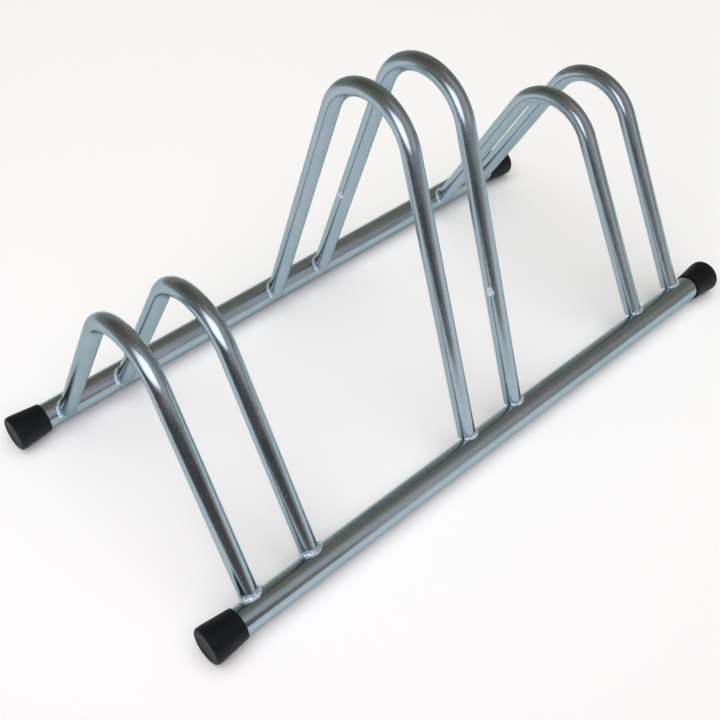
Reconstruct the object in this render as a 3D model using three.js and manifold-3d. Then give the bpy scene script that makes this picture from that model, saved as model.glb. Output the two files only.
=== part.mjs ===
// Floor bike rack: two straight base rails, six bent wheel hoops in three pairs, and four rubber end caps.
// Millimetres, Z up. X runs along the rails, -Y is the front rail, the floor is Z = 0.

import * as THREE from 'three';
import * as BufferGeometryUtils from 'three/addons/utils/BufferGeometryUtils.js';
import Module from 'manifold-3d';

// ---- overall layout ----
const OVERALL_LENGTH = 800;
const RAIL_SPACING = 350;
const PAIR_PITCH = 300;
const HOOP_SPACING = 75;
const LOW_HOOP_HEIGHT = 266;
const TALL_HOOP_HEIGHT = 392;

// ---- tubes ----
const RAIL_DIAMETER = 30;
const RAIL_WALL = 1.5;
const HOOP_DIAMETER = 20;
const HOOP_WALL = 1.5;
const BEND_RADIUS = 60;

// ---- feet: each leg is cut square, stands inboard of the rail axis and is saddled a little into the rail ----
const FOOT_INSET = 8.4;
const SADDLE_DEPTH = 0.8;

// ---- rubber end caps ----
const CAP_LENGTH = 39;
const CAP_MOUTH_WALL = 1.4;
const CAP_END_DIAMETER = 40;
const CAP_EDGE_RADIUS = 3.5;
const CAP_BAND_LENGTH = 4;
const CAP_END_WALL = 4;
const CAP_LIP_RADIUS = 0.8;
const CAP_DISH_DEPTH = 0.8;
const CAP_RIM_WIDTH = 3;

// ---- weld metal: a bead starts and ends at an angle round the foot, 90 degrees being the rail's outer side ----
const WELD_HEIGHT = 2.6;
const HEAVY_WELD_HEIGHT = 3.8;
const WELD_SPREAD = 1.35;
const WELD_STANDOFF = 0.6;
const WELD_END_DEGREES = 196;
const REAR_WELD_START_DEGREES = -12;
const FRONT_WELD_START_DEGREES = 42;
const HEAVY_WELD_START_DEGREES = -4;
const WELD_RIPPLE = 0.12;
const WELD_RIPPLE_COUNT = 5;
const NUB_HEIGHT = 168;
const NUB_LENGTH = 13;
const NUB_WIDTH = 9;
const NUB_PROUD = 1.6;

// ---- fit ----
const GAP = 0.3;

// ---- facets ----
const RAIL_SIDES = 32;
const HOOP_SIDES = 20;
const CAP_SIDES = 28;
const BEND_STEP_DEGREES = 10;
const HOOP_BORE_SIDES = 12;
const WELD_SIDES = 8;
const WELD_STEPS = 10;
const NUB_SIDES = 12;

const railRadius = RAIL_DIAMETER / 2;
const hoopRadius = HOOP_DIAMETER / 2;
const capRadius = CAP_END_DIAMETER / 2;
const railLength = OVERALL_LENGTH - 2 * (CAP_END_WALL + GAP);
// the caps are the lowest part: one flat facet of each lies on the floor
const railHeight = capRadius * Math.cos(Math.PI / CAP_SIDES);
const deg = THREE.MathUtils.degToRad;

const steel = (name) => new THREE.MeshStandardMaterial({
  name,
  color: 0xa4adb2,
  roughness: 0.24,
  metalness: 1,
});
const weldMetal = () => new THREE.MeshStandardMaterial({
  name: 'weld_metal',
  color: 0xc6cbd2,
  roughness: 0.38,
  metalness: 1,
});
const rubber = () => new THREE.MeshStandardMaterial({
  name: 'black_rubber',
  color: 0x1c1c20,
  roughness: 0.62,
  metalness: 0,
});

const wasm = await Module();
wasm.setup();

function toSolid(geometry) {
  const bare = geometry.clone();
  bare.deleteAttribute('normal');
  bare.deleteAttribute('uv');
  const merged = BufferGeometryUtils.mergeVertices(bare, 1e-4);
  return new wasm.Manifold(new wasm.Mesh({
    numProp: 3,
    vertProperties: new Float32Array(merged.attributes.position.array),
    triVerts: new Uint32Array(merged.index.array),
  }));
}

function toGeometry(solid) {
  const mesh = solid.getMesh();
  const geometry = new THREE.BufferGeometry();
  geometry.setAttribute('position', new THREE.BufferAttribute(new Float32Array(mesh.vertProperties), 3));
  geometry.setIndex(new THREE.BufferAttribute(new Uint32Array(mesh.triVerts), 1));
  geometry.computeVertexNormals();
  return geometry;
}

function addPiece(parent, name, geometry, material) {
  const piece = new THREE.Mesh(geometry, material);
  piece.name = name;
  parent.add(piece);
  return piece;
}

// Body of revolution about X; a facet, not a corner, points straight down.
function turned(profile, sides) {
  const geometry = new THREE.LatheGeometry(profile, sides, Math.PI / sides);
  geometry.rotateZ(-Math.PI / 2);
  return geometry;
}

function arcPoints(centreRadius, centreX, radius, fromDegrees, toDegrees, steps) {
  const points = [];
  for (let i = 0; i <= steps; i += 1) {
    const angle = deg(THREE.MathUtils.lerp(fromDegrees, toDegrees, i / steps));
    points.push(new THREE.Vector2(centreRadius + radius * Math.cos(angle), centreX + radius * Math.sin(angle)));
  }
  return points;
}

function circlePath(radius, sides, path) {
  for (let i = 0; i < sides; i += 1) {
    const angle = (2 * Math.PI * i) / sides;
    const x = radius * Math.cos(angle);
    const y = radius * Math.sin(angle);
    if (i === 0) {
      path.moveTo(x, y);
    } else {
      path.lineTo(x, y);
    }
  }
  path.closePath();
  return path;
}

// ---- base rails: plain lengths of round tube, open ended inside the caps ----
function railGeometry() {
  const bore = railRadius - RAIL_WALL;
  const half = railLength / 2;
  const profile = [
    new THREE.Vector2(bore, -half),
    new THREE.Vector2(railRadius, -half),
    new THREE.Vector2(railRadius, half),
    new THREE.Vector2(bore, half),
    new THREE.Vector2(bore, -half),
  ];
  return turned(profile, RAIL_SIDES);
}

// ---- end cap: a flared rubber cup, mouth at X = 0, thick end wall at X = CAP_LENGTH ----
function capGeometry() {
  const bore = railRadius + GAP;
  const mouthRadius = bore + CAP_MOUTH_WALL;
  const lip = CAP_LIP_RADIUS;
  const edge = CAP_EDGE_RADIUS;
  const dishRadius = capRadius - edge - CAP_RIM_WIDTH;
  const bandEnd = CAP_LENGTH - edge;
  const profile = [
    new THREE.Vector2(0, CAP_LENGTH - CAP_END_WALL),
    new THREE.Vector2(bore, CAP_LENGTH - CAP_END_WALL),
    new THREE.Vector2(bore, 0),
    ...arcPoints(mouthRadius - lip, lip, lip, -90, 0, 2),
    new THREE.Vector2(capRadius, bandEnd - CAP_BAND_LENGTH),
    ...arcPoints(capRadius - edge, bandEnd, edge, 0, 90, 3),
    new THREE.Vector2(dishRadius, CAP_LENGTH),
    new THREE.Vector2(dishRadius - 2 * CAP_DISH_DEPTH, CAP_LENGTH - CAP_DISH_DEPTH),
    new THREE.Vector2(0, CAP_LENGTH - CAP_DISH_DEPTH),
  ];
  return turned(profile, CAP_SIDES);
}

// ---- legs: a leg stands inboard of the rail axis and runs tangent into the round bend at the top ----
function legOf(hoopHeight) {
  const bendCentre = hoopHeight - hoopRadius - BEND_RADIUS - railHeight;
  const halfSpan = RAIL_SPACING / 2 - FOOT_INSET;
  const reach = Math.hypot(halfSpan, bendCentre);
  const lean = Math.atan2(halfSpan, bendCentre) - Math.asin(BEND_RADIUS / reach);
  return {
    lean,
    bendCentre,
    // the point of the leg axis nearest the rail axis, and how far apart the two axes pass
    footY: halfSpan + FOOT_INSET * Math.sin(lean) ** 2,
    footZ: -FOOT_INSET * Math.sin(lean) * Math.cos(lean),
    offset: FOOT_INSET * Math.cos(lean),
    // the square end lies this far up the leg from that point
    cut: railRadius - SADDLE_DEPTH,
  };
}

// Frame of one foot: X runs across the leg, Y out towards the rail's far side, Z up the leg.
function footFrame(leg, side) {
  const across = new THREE.Vector3(side, 0, 0);
  const out = new THREE.Vector3(0, side * Math.cos(leg.lean), Math.sin(leg.lean));
  const up = new THREE.Vector3(0, -side * Math.sin(leg.lean), Math.cos(leg.lean));
  return new THREE.Matrix4().makeBasis(across, out, up).setPosition(0, side * leg.footY, leg.footZ);
}

// Centre line of a hoop in its own YZ plane, Z measured from the rail axes: leg, bend, leg.
class HoopLine extends THREE.Curve {
  constructor(leg, bendSteps) {
    super();
    this.leg = leg;
    this.bendSteps = bendSteps;
  }

  getPoint(t, target = new THREE.Vector3()) {
    const { lean, bendCentre, footY, footZ, cut } = this.leg;
    const step = t * (this.bendSteps + 2) - 1;
    const turn = lean + THREE.MathUtils.clamp(step / this.bendSteps, 0, 1) * (Math.PI - 2 * lean);
    target.set(0, -BEND_RADIUS * Math.cos(turn), bendCentre + BEND_RADIUS * Math.sin(turn));
    const legShare = Math.max(-step, step - this.bendSteps, 0);
    const end = new THREE.Vector3(0, footY - cut * Math.sin(lean), footZ + cut * Math.cos(lean));
    end.y *= step < 0 ? -1 : 1;
    return target.lerp(end, legShare);
  }

  getTangent(t, target = new THREE.Vector3()) {
    const step = THREE.MathUtils.clamp(t * (this.bendSteps + 2) - 1, 0, this.bendSteps);
    const turn = this.leg.lean + (step / this.bendSteps) * (Math.PI - 2 * this.leg.lean);
    return target.set(0, Math.sin(turn), Math.cos(turn));
  }

  // one long step for each straight leg, short even steps round the bend
  getUtoTmapping(u) {
    return u;
  }
}

// Solid bar in place of a rail, used to saddle the feet and welds to it.
function railBar(side) {
  const radius = railRadius + GAP;
  const profile = [
    new THREE.Vector2(0, -HOOP_SPACING),
    new THREE.Vector2(radius, -HOOP_SPACING),
    new THREE.Vector2(radius, HOOP_SPACING),
    new THREE.Vector2(0, HOOP_SPACING),
  ];
  const bar = turned(profile, RAIL_SIDES);
  bar.translate(0, side * RAIL_SPACING / 2, 0);
  return toSolid(bar);
}

// Solid bar in place of a leg, from just below its square end to the bend, used to cut the weld metal.
function legBar(leg, side) {
  const length = leg.bendCentre;
  const bar = new THREE.CylinderGeometry(hoopRadius + GAP, hoopRadius + GAP, length, HOOP_SIDES);
  bar.rotateX(Math.PI / 2);
  bar.translate(0, 0, leg.cut - GAP + length / 2);
  bar.applyMatrix4(footFrame(leg, side));
  return toSolid(bar);
}

// ---- wheel hoops: thin tube bent to a round-topped inverted V, feet cut square and saddled to the rails ----
function hoopGeometry(leg) {
  const bendSteps = Math.round(THREE.MathUtils.radToDeg(Math.PI - 2 * leg.lean) / BEND_STEP_DEGREES);
  const section = circlePath(hoopRadius, HOOP_SIDES, new THREE.Shape());
  section.holes.push(circlePath(hoopRadius - HOOP_WALL, HOOP_BORE_SIDES, new THREE.Path()));
  const tube = new THREE.ExtrudeGeometry(section, {
    steps: bendSteps + 2,
    extrudePath: new HoopLine(leg, bendSteps),
  });
  return toGeometry(toSolid(tube).subtract(railBar(-1)).subtract(railBar(1)));
}

// ---- foot weld: a bead laid round the outer side of a foot, in the corner between leg and rail ----
function weldGeometry(leg, side, height, startDegrees) {
  const bead = new THREE.CapsuleGeometry(height, 1, 2, WELD_SIDES, WELD_STEPS);
  const position = bead.attributes.position;
  const pathRadius = hoopRadius + WELD_STANDOFF;
  for (let i = 0; i < position.count; i += 1) {
    const point = new THREE.Vector3().fromBufferAttribute(position, i);
    // the straight part of the capsule becomes the sweep round the leg, its round ends keep their size
    const along = THREE.MathUtils.clamp(point.y, -0.5, 0.5);
    const angle = deg(THREE.MathUtils.lerp(startDegrees, WELD_END_DEGREES, along + 0.5))
      + (point.y - along) / pathRadius;
    const swell = 1 + WELD_RIPPLE * Math.cos(2 * Math.PI * WELD_RIPPLE_COUNT * along);
    const radial = pathRadius + point.x * swell * WELD_SPREAD;
    const out = radial * Math.sin(angle);
    // the bead drapes over the round of the rail and hangs straight down past its side
    const drape = Math.sqrt(Math.max((railRadius + WELD_STANDOFF) ** 2 - (out - leg.offset) ** 2, 0));
    position.setXYZ(i, radial * Math.cos(angle), out, drape + point.z * swell);
  }
  bead.applyMatrix4(footFrame(leg, side));
  return toGeometry(toSolid(bead).subtract(railBar(side)).subtract(legBar(leg, side)));
}

// ---- weld nub: a low rough lump on the side of a leg, turned a little round the leg ----
function nubGeometry(leg, side, turnDegrees) {
  const lump = new THREE.SphereGeometry(1, NUB_SIDES, NUB_SIDES / 2 + 2);
  const sink = NUB_PROUD;
  lump.scale(NUB_PROUD + sink, NUB_WIDTH / 2, NUB_LENGTH / 2);
  lump.translate(hoopRadius - sink, 0, 0);
  lump.rotateZ(deg(turnDegrees));
  const climb = (NUB_HEIGHT - railHeight - leg.footZ) / Math.cos(leg.lean);
  lump.translate(0, 0, climb);
  lump.applyMatrix4(footFrame(leg, side));
  return toGeometry(toSolid(lump).subtract(legBar(leg, side)));
}

// ---- assembly ----
const rack = new THREE.Group();
rack.name = 'floor_bike_rack';
const frame = new THREE.Group();
frame.name = 'frame';
frame.position.z = railHeight;
rack.add(frame);

const lowLeg = legOf(LOW_HOOP_HEIGHT);
const tallLeg = legOf(TALL_HOOP_HEIGHT);
const sides = { front: -1, rear: 1 };

for (const [sideName, side] of Object.entries(sides)) {
  const rail = addPiece(frame, `${sideName}_rail`, railGeometry(), steel('zinc_plated_steel'));
  rail.position.y = side * RAIL_SPACING / 2;
  for (const [endName, end] of Object.entries({ left: -1, right: 1 })) {
    const cap = addPiece(frame, `cap_${sideName}_${endName}`, capGeometry(), rubber());
    cap.position.set(end * (OVERALL_LENGTH / 2 - CAP_LENGTH), side * RAIL_SPACING / 2, 0);
    cap.rotation.z = end < 0 ? Math.PI : 0;
  }
}

for (let number = 1; number <= 6; number += 1) {
  const pair = Math.ceil(number / 2) - 2;
  const leg = pair === 0 ? tallLeg : lowLeg;
  const x = pair * PAIR_PITCH + (number % 2 === 1 ? -0.5 : 0.5) * HOOP_SPACING;
  const hoop = addPiece(frame, `hoop_${number}`, hoopGeometry(leg), steel('zinc_plated_steel'));
  hoop.position.x = x;
  for (const [sideName, side] of Object.entries(sides)) {
    const heavy = pair === -1 && side === sides.front;
    const height = heavy ? HEAVY_WELD_HEIGHT : WELD_HEIGHT;
    const plainStart = side === sides.front ? FRONT_WELD_START_DEGREES : REAR_WELD_START_DEGREES;
    const start = heavy ? HEAVY_WELD_START_DEGREES : plainStart;
    const weld = addPiece(frame, `weld_${sideName}_${number}`, weldGeometry(leg, side, height, start), weldMetal());
    weld.position.x = x;
    if (number === 4) {
      // on the side that faces hoop 3; the front one sits further round towards the outside
      const turn = side === sides.front ? 22 : 180;
      const nub = addPiece(frame, `nub_${sideName}`, nubGeometry(leg, side, turn), weldMetal());
      nub.position.x = x;
    }
  }
}

export default rack;
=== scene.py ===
"""Floor bike rack: zinc-plated steel tube with rubber end caps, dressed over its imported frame."""
import bmesh
import bpy
import numpy as np
from mathutils import Matrix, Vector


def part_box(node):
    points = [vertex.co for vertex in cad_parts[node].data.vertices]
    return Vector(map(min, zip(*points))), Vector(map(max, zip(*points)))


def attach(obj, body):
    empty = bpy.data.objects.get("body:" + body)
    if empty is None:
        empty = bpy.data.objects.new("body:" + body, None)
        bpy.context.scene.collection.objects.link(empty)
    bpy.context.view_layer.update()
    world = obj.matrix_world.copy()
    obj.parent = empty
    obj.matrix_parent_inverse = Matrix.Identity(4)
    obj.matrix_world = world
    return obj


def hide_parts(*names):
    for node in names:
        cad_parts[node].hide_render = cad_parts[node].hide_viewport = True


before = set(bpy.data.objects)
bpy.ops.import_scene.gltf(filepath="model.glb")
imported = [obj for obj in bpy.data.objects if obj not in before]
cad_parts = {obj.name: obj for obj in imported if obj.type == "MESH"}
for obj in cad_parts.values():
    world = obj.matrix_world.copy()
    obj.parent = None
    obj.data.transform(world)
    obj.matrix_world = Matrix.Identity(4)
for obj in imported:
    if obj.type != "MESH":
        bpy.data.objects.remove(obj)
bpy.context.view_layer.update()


# ---- Base rails -----------------------------------------------------------------------------
# Two straight lengths of 30 mm round steel tube, sawn square and open at both ends.
# The finished rack is zinc plated in one go, so rails, hoops and welds share a bright bluish coat.

RAIL_RADIUS = 0.015
RAIL_WALL = 0.0015
SAWN_EDGE = 0.0003
AROUND_RAIL = 72
ALONG_RAIL = 160

# the plate's tints over its noise, grey green, plain and lilac, and the grain past which it is duller
ZINC_TINTS = [(0.36, (0.31, 0.43, 0.47, 1)), (0.5, (0.38, 0.48, 0.54, 1)), (0.64, (0.46, 0.51, 0.60, 1))]
ZINC_EDGE_TINT = (0.60, 0.69, 0.67, 1)
ZINC_DULLER = (0.54, 0.72)
# how many spots of each noise fit in a metre; the draw lines' along the tube and both ways across it
ZINC_CLOUDS = 28.0
ZINC_GRAIN = 760.0
DRAW_LINES = (6.0, 900.0, 900.0)


def grid_mesh(name, points, straight=None, close_rows=False):
    """Mesh over a grid of points (rows, columns, 3). Columns always close on themselves; rows close
    when asked, and a row drawn to one spot becomes a pole. Cell (i, j) joins rows i and i+1 and
    columns j and j+1. 'straight' is each point's place on the tube before it was bent."""
    rows, columns = points.shape[:2]
    last = rows if close_rows else rows - 1
    i, j = np.meshgrid(np.arange(last), np.arange(columns), indexing="ij")
    i2, j2 = (i + 1) % rows, (j + 1) % columns
    corners = np.stack([i * columns + j, i * columns + j2, i2 * columns + j2, i2 * columns + j], -1)
    mesh = bpy.data.meshes.new(name)
    mesh.from_pydata(points.reshape(-1, 3), [], corners.reshape(-1, 4))
    if straight is not None:
        place = mesh.attributes.new("straight", "FLOAT_VECTOR", "POINT")
        place.data.foreach_set("vector", straight.astype(np.float32).ravel())
    shape = bmesh.new()
    shape.from_mesh(mesh)
    bmesh.ops.remove_doubles(shape, verts=shape.verts, dist=1e-7)
    bmesh.ops.recalc_face_normals(shape, faces=shape.faces)
    shape.to_mesh(mesh)
    shape.free()
    mesh.polygons.foreach_set("use_smooth", np.ones(len(mesh.polygons), bool))
    piece = bpy.data.objects.new(name, mesh)
    bpy.context.scene.collection.objects.link(piece)
    return piece


class Wire:
    """A node socket that takes part in sums: +, * and / each add one Math node."""

    tree = None

    def __init__(self, socket):
        self.socket = socket

    @classmethod
    def node(cls, kind, settings=(), **values):
        """Adds a node. Its settings come first, with a ramp's stops as (position, tone), then the values
        or links of its sockets. In a socket's name _ stands for a space, and i0, i1 and so on name a
        socket by its number."""
        made = cls.tree.nodes.new(kind)
        for key, value in dict(settings).items():
            if key == "stops":
                ramp = made.color_ramp
                while len(ramp.elements) < len(value):
                    ramp.elements.new(0.5)
                for stop, (position, tone) in zip(ramp.elements, value):
                    stop.position = position
                    stop.color = tone
            else:
                setattr(made, key, value)
        for key, value in values.items():
            numbered = key[0] == "i" and key[1:].isdigit()
            socket = made.inputs[int(key[1:]) if numbered else key.replace("_", " ")]
            if isinstance(value, Wire):
                cls.tree.links.new(value.socket, socket)
            else:
                socket.default_value = value
        return made

    def maths(self, operation, other, turned=False):
        """One Math node on this wire and another wire or number; turned puts the other first."""
        first, second = (other, self) if turned else (self, other)
        return Wire(Wire.node("ShaderNodeMath", {"operation": operation}, i0=first, i1=second).outputs[0])

    def __add__(self, other):
        return self.maths("ADD", other)

    def __radd__(self, other):
        return self.maths("ADD", other, True)

    def __mul__(self, other):
        return self.maths("MULTIPLY", other)

    def __rmul__(self, other):
        return self.maths("MULTIPLY", other, True)

    def __truediv__(self, other):
        return self.maths("DIVIDE", other)

    def __rtruediv__(self, other):
        return self.maths("DIVIDE", other, True)


def new_material(name):
    """Empty node material; its tree becomes the one that Wire adds to."""
    material = bpy.data.materials.new(name)
    material.use_nodes = True
    material.node_tree.nodes.clear()
    Wire.tree = material.node_tree
    return material


def own_place():
    """The shaded point in the piece's own coordinates."""
    return Wire(Wire.node("ShaderNodeTexCoord").outputs["Object"])


def noise(place, scale, **values):
    """Noise over a place, about 0 to 1; scale is how many spots fit in one unit of the place."""
    return Wire(Wire.node("ShaderNodeTexNoise", Vector=place, Scale=scale, **values).outputs[0])


def smooth(value, first, last):
    """0 to 1 as the value goes from first to last, with soft ends."""
    return Wire(Wire.node("ShaderNodeMapRange", {"interpolation_type": "SMOOTHSTEP"},
                          Value=value, From_Min=first, From_Max=last).outputs["Result"])


def tones(stops, share):
    """Colour that goes through the stops (share, colour) as the share grows."""
    return Wire(Wire.node("ShaderNodeValToRGB", {"stops": stops}, Fac=share).outputs[0])


def set_surface(material, **values):
    """Gives the material one Principled surface with these socket values or links."""
    shader = Wire.node("ShaderNodeBsdfPrincipled", **values)
    Wire.node("ShaderNodeOutputMaterial", Surface=Wire(shader.outputs[0]))
    return material


def zinc_plate(name):
    """Bright zinc over drawn tube: a bluish mirror, slightly clouded, with faint lines along the tube
    and a fine grain that turns from grey green to lilac and is duller where it is palest."""
    material = new_material(name)
    place = Wire(Wire.node("ShaderNodeAttribute", {"attribute_name": "straight"}).outputs["Vector"])
    here = own_place()
    clouds = noise(here, ZINC_CLOUDS, Detail=3.0)
    drawn = Wire.node("ShaderNodeMapping", Vector=place, Scale=DRAW_LINES)
    lines = noise(Wire(drawn.outputs[0]), 1.0, Detail=2.0)
    grain = noise(here, ZINC_GRAIN, Detail=3.0, Roughness=0.7)
    bump = Wire.node("ShaderNodeBump", Strength=0.3, Distance=0.00005, Height=lines * 0.5 + grain * 0.5)
    return set_surface(
        material, Metallic=1.0, Specular_Tint=ZINC_EDGE_TINT,
        Base_Color=tones(ZINC_TINTS, clouds * 0.35 + grain * 0.65),
        Roughness=0.14 + clouds * 0.12 + smooth(grain, *ZINC_DULLER) * 0.12,
        Normal=Wire(bump.outputs[0]),
    )


def fit_piece(piece, material, node):
    """The piece takes its material, moves with the rack and stands for its frame node."""
    piece.data.materials.append(material)
    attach(piece, "root")
    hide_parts(node)


def ring(count):
    """Angles round a tube, evenly spaced, as a row."""
    return np.linspace(0, 2 * np.pi, count, endpoint=False)[None, :]


def spun(profile, count):
    """Surface of a profile (along, radius) turned about the X axis: x is the distance along, y and z
    are the radius times the cosine and the sine of the angle round it."""
    angle = ring(count)
    x = np.broadcast_to(profile[:, :1], (len(profile), count))
    return np.stack([x, profile[:, 1:] * np.cos(angle), profile[:, 1:] * np.sin(angle)], -1)


rail_steel = zinc_plate("zinc_plate_rail")
for node in ("front_rail", "rear_rail"):
    low, high = (np.array(corner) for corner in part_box(node))
    middle = (low + high) / 2
    half = (high[0] - low[0]) / 2
    # profile (along, radius): the outside from end to end, a broken edge, then back through the bore
    outside = np.linspace((SAWN_EDGE - half, RAIL_RADIUS), (half - SAWN_EDGE, RAIL_RADIUS), ALONG_RAIL)
    edge = np.array([[half, RAIL_RADIUS - SAWN_EDGE], [half, RAIL_RADIUS - RAIL_WALL]])
    straight = spun(np.concatenate([outside, edge, edge[::-1] * [-1, 1]]), AROUND_RAIL)
    rail = grid_mesh("tube_" + node, straight + [0, middle[1], middle[2]], straight, close_rows=True)
    fit_piece(rail, rail_steel, node)
# the rear rail's axis, which the hoops are set out from
rail_height, rail_reach = middle[2], middle[1]


# ---- Wheel hoops ----------------------------------------------------------------------------
# Six lengths of 20 mm tube, each bent once to a round-topped inverted V: four low, two tall.
# The ends are sawn square, stand inboard of the rail axis and are saddled a little to sit on it.

HOOP_RADIUS = 0.010
HOOP_WALL = 0.0015
BEND_RADIUS = 0.060
FOOT_INSET = 0.0084
SADDLE_DEPTH = 0.0008
SADDLE_GAP = 0.0001
AROUND_HOOP = 56
ALONG_LEG = 70
ALONG_BEND = 90
CLOSER_AT_FOOT = 1.3
PATTERN_STEP = 0.5


def leg_of(height):
    """A leg leans so that it runs tangent into the bend: lean = angle to the bend's centre less the
    angle under which the bend radius is seen. Its foot is the point of its axis nearest to the rail's
    axis, offset is how far apart they are there, and cut is how far above the foot its end is sawn.
    Heights are from the rail's axis."""
    bend_centre = height - HOOP_RADIUS - BEND_RADIUS - rail_height
    half_span = rail_reach - FOOT_INSET
    reach = np.hypot(half_span, bend_centre)
    lean = np.arctan2(half_span, bend_centre) - np.arcsin(BEND_RADIUS / reach)
    return {
        "lean": lean,
        "bend_centre": bend_centre,
        "foot_y": half_span + FOOT_INSET * np.sin(lean) ** 2,
        "foot_z": -FOOT_INSET * np.sin(lean) * np.cos(lean),
        "offset": FOOT_INSET * np.cos(lean),
        "cut": RAIL_RADIUS - SADDLE_DEPTH,
    }


def from_foot(leg, side, across, out, up):
    """Places points given round a foot: across the leg, out to the rail's outer side and up the leg,
    turned by the leg's lean. The rear side (1) is the front one (-1) turned round."""
    lean = leg["lean"]
    y = side * (leg["foot_y"] + out * np.cos(lean) - up * np.sin(lean))
    z = leg["foot_z"] + out * np.sin(lean) + up * np.cos(lean) + rail_height
    return np.stack(np.broadcast_arrays(side * across, y, z), -1)


def hoop_skin(leg, radius, edge=0.0):
    """Rows of rings of one radius: up the front leg, round the bend, down the rear leg. A leg's rings
    rise, closer together at the foot, from the end's height to the bend; that height is the larger of
    the square cut and the rail's own round. Returns the points and their places on the straight tube."""
    angle = ring(AROUND_HOOP)
    across, out = radius * np.cos(angle), radius * np.sin(angle)
    lean = leg["lean"]
    rail_round = np.maximum((RAIL_RADIUS + SADDLE_GAP) ** 2 - (out - leg["offset"]) ** 2, 0)
    end = np.maximum(leg["cut"], np.sqrt(rail_round)) + edge
    top = (leg["bend_centre"] + BEND_RADIUS * np.sin(lean) - leg["foot_z"]) / np.cos(lean)
    up = end + (top - end) * np.linspace(0, 1, ALONG_LEG)[:, None] ** CLOSER_AT_FOOT
    front = from_foot(leg, -1, -across, out, up)
    rear = from_foot(leg, 1, across, out, up)[::-1]
    turn = np.linspace(lean, np.pi - lean, ALONG_BEND)[1:-1, None]
    far = BEND_RADIUS + out
    bend = np.stack(np.broadcast_arrays(
        across, -far * np.cos(turn), leg["bend_centre"] + rail_height + far * np.sin(turn)), -1)
    run = np.concatenate([up - top, BEND_RADIUS * (turn - lean) + 0 * out,
                          BEND_RADIUS * (np.pi - 2 * lean) + (top - up)[::-1]])
    straight = np.stack(np.broadcast_arrays(run, across, out), -1)
    return np.concatenate([front, bend, rear]), straight


hoop_steel = zinc_plate("zinc_plate_hoop")
legs = {}
for number in range(1, 7):
    low, high = (np.array(corner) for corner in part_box(f"hoop_{number}"))
    leg = legs[number] = leg_of(high[2])
    leg["x"] = (low[0] + high[0]) / 2
    outside = hoop_skin(leg, HOOP_RADIUS, SAWN_EDGE)
    lip = hoop_skin(leg, HOOP_RADIUS - SAWN_EDGE)
    bore = hoop_skin(leg, HOOP_RADIUS - HOOP_WALL)
    # over the outside to the rear foot and back through the bore, with a broken edge at both ends
    points, straight = (np.concatenate([a, b[-1:], c[::-1], b[:1]]) for a, b, c in zip(outside, lip, bore))
    # each hoop's draw lines come from its own stretch of tube
    hoop = grid_mesh(f"wheel_hoop_{number}", points + [leg["x"], 0, 0],
                     straight + [PATTERN_STEP * number, 0, 0], close_rows=True)
    fit_piece(hoop, hoop_steel, f"hoop_{number}")


# ---- Foot welds -----------------------------------------------------------------------------
# Weld metal laid round the outer side of every foot, in the corner between leg and rail.
# The first pair's front feet got a heavy bead, all others a small one. Both are zinc plated over.

WELD_HEIGHT = 0.0021
HEAVY_WELD_HEIGHT = 0.0031
HEAVY_FEET = (("front", 1), ("front", 2))
WELD_SPREAD = 1.25
WELD_STANDOFF = 0.0006
WELD_END = np.radians(196)
WELD_STARTS = {"rear": np.radians(-12), "front": np.radians(42), "heavy": np.radians(10)}
WELD_UNEVEN = 0.14
UNEVEN_PER_RADIAN = 3.2
LUMP_WAVES = (1, 1.7, 2.6, 3.9, 5.3, 7.9)
LUMP_BEND = 1.3
LUMP_STRETCH = 0.9
LUMP_FADE = 0.7
LUMP_RANGE = 2.2
ROUND_WELD = 28
ALONG_WELD = 120
WELD_CLOUDS = 420.0
WELD_PITS = 1500.0


def lumps(a, b, seed):
    """Unevenness of hand-laid metal, about -1 to 1: a sum of waves of unrelated lengths. Each is a
    sine along a, bent by a sine of b, times a cosine of b, and is weaker the shorter it is."""
    drawn = np.random.default_rng(seed)
    total = 0
    for size in LUMP_WAVES:
        start_a, bend_b, start_b, _ = drawn.uniform(0, 2 * np.pi, 4)
        bent = size * a + start_a + LUMP_BEND * np.sin(size * b + bend_b)
        total = total + np.sin(bent) * np.cos(size * b * LUMP_STRETCH + start_b) / size ** LUMP_FADE
    return total / LUMP_RANGE


def colour(code):
    """Linear colour of a written sRGB code."""
    value = np.array([int(code[k:k + 2], 16) for k in (0, 2, 4)]) / 255
    value = np.where(value <= 0.04045, value / 12.92, ((value + 0.055) / 1.055) ** 2.4)
    return (*value, 1.0)


WELD_TINTS = [(0.36, colour("94a8be")), (0.48, colour("d2e4f7")), (0.6, colour("f0f9ff"))]


def weld_metal(name):
    """Weld metal under zinc: brighter and rougher than the tube, with small ripples and pits."""
    material = new_material(name)
    here = own_place()
    clouds = noise(here, WELD_CLOUDS, Detail=4.0)
    pits = noise(here, WELD_PITS, Detail=3.0)
    bump = Wire.node("ShaderNodeBump", Strength=0.7, Distance=0.0004, Height=clouds * 0.6 + pits * 0.4)
    return set_surface(
        material, Metallic=0.75,
        Base_Color=tones(WELD_TINTS, clouds),
        Roughness=0.2 + pits * 0.5,
        Normal=Wire(bump.outputs[0]),
    )


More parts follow.
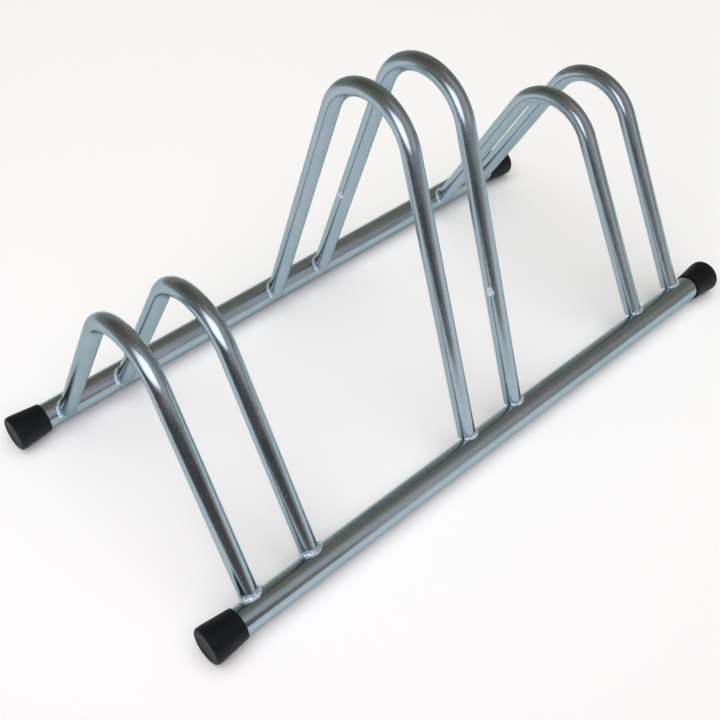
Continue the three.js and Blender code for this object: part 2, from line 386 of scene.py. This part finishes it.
def bead(leg, side, height, start, seed):
    """A roll swept round the foot: along it the angle runs from start to end, its section is an ellipse
    whose size is rounded off at both ends and follows slow lumps, and it drapes over the rail."""
    angle = ring(ROUND_WELD)
    path = HOOP_RADIUS + WELD_STANDOFF
    first, last = start - height / path, WELD_END + height / path
    sweep = np.linspace(first, last, ALONG_WELD)[:, None]
    from_tip = np.clip(np.minimum(sweep - first, last - sweep) * path / height, 0, 1)
    dome = np.sqrt(np.clip(1 - (1 - from_tip) ** 2, 0, 1))
    size = height * dome * (1 + WELD_UNEVEN * lumps(sweep * UNEVEN_PER_RADIAN, 0 * angle, seed))
    radial = path + size * WELD_SPREAD * np.cos(angle)
    out = radial * np.sin(sweep)
    # the rail's round, kept real past the rail's side
    rest = np.sqrt(np.clip((RAIL_RADIUS + WELD_STANDOFF) ** 2 - (out - leg["offset"]) ** 2, 1e-8, None))
    return from_foot(leg, side, radial * np.cos(sweep), out, rest + size * np.sin(angle))


bead_metal = weld_metal("weld_metal_bead")
for number, leg in legs.items():
    for side_name, side in (("front", -1), ("rear", 1)):
        heavy = (side_name, number) in HEAVY_FEET
        points = bead(leg, side, HEAVY_WELD_HEIGHT if heavy else WELD_HEIGHT,
                      WELD_STARTS["heavy" if heavy else side_name], 10 * number + side)
        weld = grid_mesh(f"bead_{side_name}_{number}", points + [leg["x"], 0, 0])
        fit_piece(weld, bead_metal, f"weld_{side_name}_{number}")


# ---- Weld nubs ------------------------------------------------------------------------------
# Two low rough lumps of weld metal on the fourth hoop, one on each leg at the same height.
# Each is a rough ellipsoid, sunk into the tube but for its outer part.

NUB_HOOP = 4
NUB_HEIGHT = 0.168
# a nub's half sizes out of the tube, round it and along it
NUB_DEPTH, NUB_WIDTH, NUB_LENGTH = 0.0032, 0.0045, 0.0065
NUB_SINK = 0.0016
NUB_TURNS = {"front": np.radians(22), "rear": np.radians(180)}
NUB_UNEVEN = 0.06
NUB_LUMPS_ACROSS, NUB_LUMPS_ALONG = 2.2, 3
NUB_SEED = 5
AROUND_NUB = 48
ALONG_NUB = 40

for side_name, side in (("front", -1), ("rear", 1)):
    leg, turn = legs[NUB_HOOP], NUB_TURNS[side_name]
    tilt = np.linspace(-np.pi / 2, np.pi / 2, ALONG_NUB)[:, None]
    angle = ring(AROUND_NUB)
    # a ball's own (out, aside, up), each stretched to the nub's half size and roughened
    ball = np.cos(tilt) * np.cos(angle), np.cos(tilt) * np.sin(angle), np.sin(tilt)
    rough = 1 + NUB_UNEVEN * lumps(NUB_LUMPS_ACROSS * ball[0],
                                   NUB_LUMPS_ACROSS * ball[1] + NUB_LUMPS_ALONG * ball[2], NUB_SEED + side)
    proud = HOOP_RADIUS - NUB_SINK + NUB_DEPTH * rough * ball[0]
    wide = NUB_WIDTH * rough * ball[1]
    climb = (NUB_HEIGHT - rail_height - leg["foot_z"]) / np.cos(leg["lean"])
    points = from_foot(leg, side, proud * np.cos(turn) - wide * np.sin(turn),
                       proud * np.sin(turn) + wide * np.cos(turn), climb + NUB_LENGTH * rough * ball[2])
    nub = grid_mesh(f"weld_nub_{side_name}", points + [leg["x"], 0, 0])
    fit_piece(nub, bead_metal, f"nub_{side_name}")


# ---- End caps -------------------------------------------------------------------------------
# Four moulded black rubber cups pushed over the rail ends; they flare towards the end, whose rim
# is rounded and whose face is very slightly dished. The rack stands on them.

CAP_GAP = 0.0003
CAP_BORE = RAIL_RADIUS + CAP_GAP
CAP_CHAMFER = 0.0004
CAP_MOUTH = 0.0167
CAP_LIP = 0.0008
CAP_EDGE = 0.0035
CAP_BAND = 0.004
CAP_END_WALL = 0.004
DISH_RADIUS = 0.0135
DISH_DEPTH = 0.0008
AROUND_CAP = 96
# the rubber's near-black tones over its noise: their blue tint is painted sheen, their lighter end is dust
RUBBER_DUST_AND_PAINTED_SHEEN = [(0.35, colour("050608")), (0.6, colour("07090e")), (0.75, colour("11131a"))]
RUBBER_SHEEN_TINT = (0.82, 0.92, 1.0, 1)
RUBBER_CLOUDS = 90.0
RUBBER_GRAIN = 2600.0


def arc(along, out, radius, first, last, count):
    """Points (along, out) of an arc about a centre; its angle in degrees goes from straight out
    towards the end."""
    turn = np.radians(np.linspace(first, last, count))
    return np.stack([along + radius * np.sin(turn), out + radius * np.cos(turn)], 1)


def rubber(name):
    """Moulded near-black rubber with a fine matt grain, a little dust and a bluish sheen, partly painted in
    its base colour.
    """
    material = new_material(name)
    here = own_place()
    clouds = noise(here, RUBBER_CLOUDS, Detail=4.0)
    grain = noise(here, RUBBER_GRAIN, Detail=2.0)
    bump = Wire.node("ShaderNodeBump", Strength=0.35, Distance=0.0001, Height=grain * 0.7 + clouds * 0.3)
    return set_surface(
        material, Metallic=0.0, Specular_IOR_Level=0.33, Specular_Tint=RUBBER_SHEEN_TINT,
        Base_Color=tones(RUBBER_DUST_AND_PAINTED_SHEEN, clouds),
        Roughness=0.5 + clouds * 0.2,
        Normal=Wire(bump.outputs[0]),
    )


cap_rubber = rubber("black_rubber_cap")
for end_name, end in (("left", -1), ("right", 1)):
    for side_name in ("front", "rear"):
        node = f"cap_{side_name}_{end_name}"
        low, high = (np.array(corner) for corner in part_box(node))
        middle, length = (low + high) / 2, high[0] - low[0]
        cap_radius = (high[2] - low[2]) / 2
        band, cup_floor, dish = length - CAP_EDGE, length - CAP_END_WALL, length - DISH_DEPTH
        dish_floor = DISH_RADIUS - 2 * DISH_DEPTH
        # profile (along, out), each stretch with its number of points: the cup's floor, the bore, the
        # lip, the flare, the rounded rim, the dish's slope and its floor
        walk = np.concatenate([
            np.linspace((cup_floor, 0), (cup_floor, CAP_BORE), 12),
            np.linspace((cup_floor, CAP_BORE), (CAP_CHAMFER, CAP_BORE), 20),
            arc(CAP_LIP, CAP_MOUTH - CAP_LIP, CAP_LIP, -90, 0, 8),
            np.linspace((CAP_LIP, CAP_MOUTH), (band - CAP_BAND, cap_radius), 24)[1:],
            arc(band, cap_radius - CAP_EDGE, CAP_EDGE, 0, 90, 16),
            np.linspace((length, DISH_RADIUS), (dish, dish_floor), 2),
            np.linspace((dish, dish_floor), (dish, 0), 10)[1:],
        ])
        mouth = [middle[0] - end * length / 2, middle[1], middle[2]]
        cap = grid_mesh("rubber_" + node, spun(walk, AROUND_CAP) * [end, 1, 1] + mouth)
        fit_piece(cap, cap_rubber, node)


# ---- Floor ----------------------------------------------------------------------------------
# Plain pale matt sheet, 18 m square, on which the rack stands.
# Far out it fades softly into the grey of a studio floor.

FLOOR_HALF = 9
FADE_FROM, FADE_TO = 1.2, 4.0
NEAR_TONE = colour("f8fafa")
FAR_TONE = colour("a2a4a5")

floor_mesh = bpy.data.meshes.new("floor")
floor_corners = [(FLOOR_HALF * x, FLOOR_HALF * y, 0) for x, y in ((-1, -1), (1, -1), (1, 1), (-1, 1))]
floor_mesh.from_pydata(floor_corners, [], [(0, 1, 2, 3)])
floor = bpy.data.objects.new("floor", floor_mesh)
bpy.context.scene.collection.objects.link(floor)
pale_floor = new_material("pale_floor")
away = Wire(Wire.node("ShaderNodeVectorMath", {"operation": "LENGTH"}, i0=own_place()).outputs["Value"])
set_surface(pale_floor, Roughness=0.9,
            Base_Color=tones([(0, NEAR_TONE), (1, FAR_TONE)], smooth(away, FADE_FROM, FADE_TO)))
floor_mesh.materials.append(pale_floor)


# ---- Light ----------------------------------------------------------------------------------
# Soft studio light: a dim warm room with one paler side, an even soft light from above, a soft-edged
# lit panel in front of the camera, most of it to the left, and a wider dark card right below it.
# The camera doesn't see panel or card; the tubes mirror them.

# the room seen from the rack, near the floor and higher up: its tone at each azimuth in degrees,
# counted from +X towards +Y
ROOM_LOW = {-180: (0.34, 0.32, 0.30), -135: (0.35, 0.32, 0.32), -102: (0.43, 0.39, 0.37),
            -86: (0.71, 0.64, 0.60), -62: (0.71, 0.64, 0.60), -52: (0.31, 0.29, 0.26),
            0: (0.39, 0.35, 0.31), 60: (0.47, 0.41, 0.34), 105: (0.28, 0.24, 0.20),
            180: (0.34, 0.32, 0.30)}
ROOM_HIGH = {-180: (0.27, 0.22, 0.19), -135: (0.32, 0.28, 0.27), -105: (0.55, 0.44, 0.40),
             -72: (0.60, 0.53, 0.52), -56: (0.64, 0.60, 0.64), -42: (0.46, 0.39, 0.34),
             -15: (0.27, 0.23, 0.19), 45: (0.26, 0.22, 0.17), 75: (0.18, 0.15, 0.11),
             105: (0.14, 0.12, 0.08), 180: (0.27, 0.22, 0.19)}
# between which sines of the elevation the low tones turn into the high ones, and the far floor's tone
# at the horizon into the low ones
ROOM_RISE = (0.2, 0.57)
HORIZON_RISE = (0.0, 0.09)

LIT_SIZE = (0.92, 0.78)
LIT_PLACE = {"azimuth": -130, "distance": 0.60, "aside": -0.32, "up": 0.68, "tilt": 10}
LIT_TONES = [(0, (0.12, 0.11, 0.11, 1)), (1, (1.0, 0.91, 0.96, 1))]
LIT_EDGES = [("u", 0.0, 0.35), ("u", 1.0, 0.75), ("v", 0.0, 0.1), ("v", 1.0, 0.6)]
LIT_STRENGTH = 2.4

DARK_SIZE = (1.5, 0.28)
DARK_PLACE = {"azimuth": -130, "distance": 0.58, "aside": -0.12, "up": 0.143}
DARK_TONES = [(0, (0.165, 0.135, 0.13, 1)), (1, (0.46, 0.42, 0.40, 1))]
DARK_EDGES = [("u", 0.64, 0.8)]

EVEN_STRENGTH = 2.2
EVEN_TINT = (0.945, 0.975, 1.0)
EVEN_SPREAD = np.radians(80)
EVEN_TURN = (np.radians(15), 0, np.radians(-60))

world = bpy.data.worlds.new("dim_room")
bpy.context.scene.world = world
world.use_nodes = True
world.node_tree.nodes.clear()
Wire.tree = world.node_tree
sky = Wire.node("ShaderNodeSeparateXYZ", Vector=Wire(Wire.node("ShaderNodeTexCoord").outputs["Generated"]))
sky_x, sky_y, sky_z = (Wire(part) for part in sky.outputs)
turned = Wire(Wire.node("ShaderNodeMath", {"operation": "ARCTAN2"}, i0=sky_y, i1=sky_x).outputs[0])


def by_azimuth(room):
    """The room's tone towards each azimuth, straight between the ones given."""
    return tones([(angle / 360 + 0.5, (*tone, 1)) for angle, tone in room.items()],
                 turned / (2 * np.pi) + 0.5)


def blend(share, first, second):
    """Colour between the first and the second."""
    return Wire(Wire.node("ShaderNodeMix", {"data_type": "RGBA"}, i0=share, i6=first, i7=second).outputs[2])


room = blend(smooth(sky_z, *ROOM_RISE), by_azimuth(ROOM_LOW), by_azimuth(ROOM_HIGH))
# the room's foot takes the far floor's tone, so that no line shows where they meet
room = blend(smooth(sky_z, *HORIZON_RISE), FAR_TONE, room)
back = Wire.node("ShaderNodeBackground", Color=room, Strength=1.0)
Wire.node("ShaderNodeOutputWorld", Surface=Wire(back.outputs[0]))


def placement(axes, place):
    """Matrix whose axes are these columns and whose origin is this place."""
    return Matrix([(*row, at) for row, at in zip(axes, place)] + [(0, 0, 0, 1)])


def towards_rack(azimuth, distance, aside, up, tilt=0):
    """Placement of an upright card that faces the rack: out from the rack's middle by its distance
    towards the azimuth, aside in the way azimuths grow, then up; tilt leans its face down."""
    a, t = np.radians(azimuth), np.radians(tilt)
    right = np.array([-np.sin(a), np.cos(a), 0.0])
    behind = np.array([np.cos(a) * np.cos(t), np.sin(a) * np.cos(t), np.sin(t)])
    place = np.array([np.cos(a), np.sin(a), 0]) * distance + right * aside + [0, 0, up]
    return placement(np.stack([right, np.cross(behind, right), behind], 1), place)


def card(name, size, place, material):
    """Sheet that tubes mirror but the camera doesn't see, and that throws no shadow."""
    mesh = bpy.data.meshes.new(name)
    x, y = size[0] / 2, size[1] / 2
    mesh.from_pydata([(-x, -y, 0), (x, -y, 0), (x, y, 0), (-x, y, 0)], [], [(0, 1, 2, 3)])
    sheet = mesh.uv_layers.new(name="sheet")
    sheet.data.foreach_set("uv", [0, 0, 1, 0, 1, 1, 0, 1])
    mesh.transform(place)
    mesh.materials.append(material)
    made = bpy.data.objects.new(name, mesh)
    made.visible_camera = made.visible_shadow = False
    bpy.context.scene.collection.objects.link(made)
    return made


def card_material(name, stops, edges, glow=0.0):
    """Matt card whose tone goes through the stops with the product of its soft edges, each over u or v.
    A card that glows sends that tone out and is black otherwise."""
    material = new_material(name)
    place = Wire.node("ShaderNodeSeparateXYZ", Vector=Wire(Wire.node("ShaderNodeUVMap").outputs[0]))
    sides = {"u": Wire(place.outputs["X"]), "v": Wire(place.outputs["Y"])}
    share = 1
    for side, first, last in edges:
        share = smooth(sides[side], first, last) * share
    tone = tones(stops, share)
    if glow:
        return set_surface(material, Roughness=1.0, Base_Color=(0, 0, 0, 1),
                           Emission_Color=tone, Emission_Strength=glow)
    return set_surface(material, Roughness=1.0, Base_Color=tone)


card("lit_panel", LIT_SIZE, towards_rack(**LIT_PLACE),
     card_material("lit_panel", LIT_TONES, LIT_EDGES, LIT_STRENGTH))
dark_card = card("dark_card", DARK_SIZE, towards_rack(**DARK_PLACE),
                 card_material("dark_card", DARK_TONES, DARK_EDGES))
# it shows in reflections only and doesn't darken matt things
dark_card.visible_diffuse = False

even_light = bpy.data.lights.new("even_light", "SUN")
even_light.energy = EVEN_STRENGTH
even_light.color = EVEN_TINT
even_light.angle = EVEN_SPREAD
holder = bpy.data.objects.new("even_light", even_light)
holder.rotation_euler = EVEN_TURN
# it isn't mirrored in the tubes
holder.visible_glossy = False
bpy.context.scene.collection.objects.link(holder)


# ---- Camera ---------------------------------------------------------------------------------
# Stands in front of the left end and looks down at the rack, as the photograph was taken.
# Its focal length and the row that its axis meets are in pixels of the square picture.

CAMERA_AT = (-0.657827, -0.647659, 0.908954)
CAMERA_AZIMUTH, CAMERA_ELEVATION, CAMERA_ROLL = np.radians((46.6445, -42.7342, 1.0112))
PICTURE_WIDTH = 720
FOCAL_LENGTH = 1072.82
AXIS_ROW = 324.8
FILM_WIDTH = 36

lens = bpy.data.cameras.new("camera")
lens.sensor_width = FILM_WIDTH
lens.lens = FILM_WIDTH * FOCAL_LENGTH / PICTURE_WIDTH
lens.shift_y = AXIS_ROW / PICTURE_WIDTH - 0.5
camera = bpy.data.objects.new("camera", lens)
bpy.context.scene.collection.objects.link(camera)
level = np.cos(CAMERA_ELEVATION)
ahead = np.array([level * np.cos(CAMERA_AZIMUTH), level * np.sin(CAMERA_AZIMUTH), np.sin(CAMERA_ELEVATION)])
# to the right without the roll, then rolled about the way ahead
flat_right = np.array([np.sin(CAMERA_AZIMUTH), -np.cos(CAMERA_AZIMUTH), 0.0])
right = flat_right * np.cos(CAMERA_ROLL) + np.cross(flat_right, ahead) * np.sin(CAMERA_ROLL)
camera.matrix_world = placement(np.stack([right, np.cross(right, ahead), -ahead], 1), CAMERA_AT)
bpy.context.scene.camera = camera
bpy.context.scene.view_settings.view_transform = "Standard"
